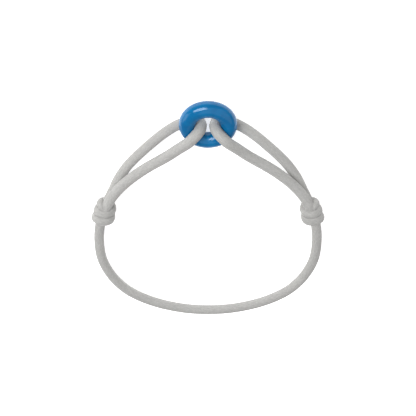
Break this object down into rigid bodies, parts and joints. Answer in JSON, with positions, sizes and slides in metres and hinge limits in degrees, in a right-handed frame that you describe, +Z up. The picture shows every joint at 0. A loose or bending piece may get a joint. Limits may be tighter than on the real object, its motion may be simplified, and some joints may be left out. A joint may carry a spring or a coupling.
{
  "type": "cord bracelet",
  "caption": "Adjustable bracelet: a glossy donut ring held by two nooses of one round elastic cord, each closed by a sliding knot.",
  "frame": {"origin": "on the table, under the middle of the bracelet's box as it lies flat", "axes": "+Z up from the table, -Y towards the ring, +Y towards the far side of the wrist loop, +X towards the left knot, which is on the left when the ring is at the top of the view"},
  "size_m": [0.0588, 0.0676, 0.0086],
  "materials": {
    "glaze": "glossy blue, opaque",
    "jacket": "braided textile, light warm grey",
    "core": "satin elastic, off-white"
  },
  "bodies": {
    "cord": {"wrist_arc_jacket": "jacket", "left_standing_strand_jacket": "jacket", "right_standing_strand_jacket": "jacket", "left_working_strand_jacket": "jacket", "right_working_strand_jacket": "jacket", "wrist_arc_core": "core", "left_standing_strand_core": "core", "right_standing_strand_core": "core", "left_working_strand_core": "core", "right_working_strand_core": "core"},
    "ring": {"ring": "glaze"},
    "left_knot": {"left_knot_wraps": "jacket", "left_knot_tail": "jacket"},
    "right_knot": {"right_knot_wraps": "jacket", "right_knot_tail": "jacket"}
  },
  "joints": [
    {"name": "ring_spin", "type": "hinge", "parent": "cord", "child": "ring", "pos_m": [0, -0.0275, 0.005], "axis": [0, 0.2756, 0.9613], "continuous": true},
    {"name": "left_knot_slide", "type": "hinge", "parent": "cord", "child": "left_knot", "pos_m": [-0.0049, 0.0093, 0.00245], "axis": [0, 0, 1], "range_deg": [-6, 20], "deforming": ["left_working_strand_jacket", "left_working_strand_core", "left_standing_strand_jacket", "left_standing_strand_core"]},
    {"name": "right_knot_slide", "type": "hinge", "parent": "cord", "child": "right_knot", "pos_m": [0.0049, 0.0093, 0.00245], "axis": [0, 0, -1], "range_deg": [-6, 20], "deforming": ["right_working_strand_jacket", "right_working_strand_core", "right_standing_strand_jacket", "right_standing_strand_core"]}
  ]
}
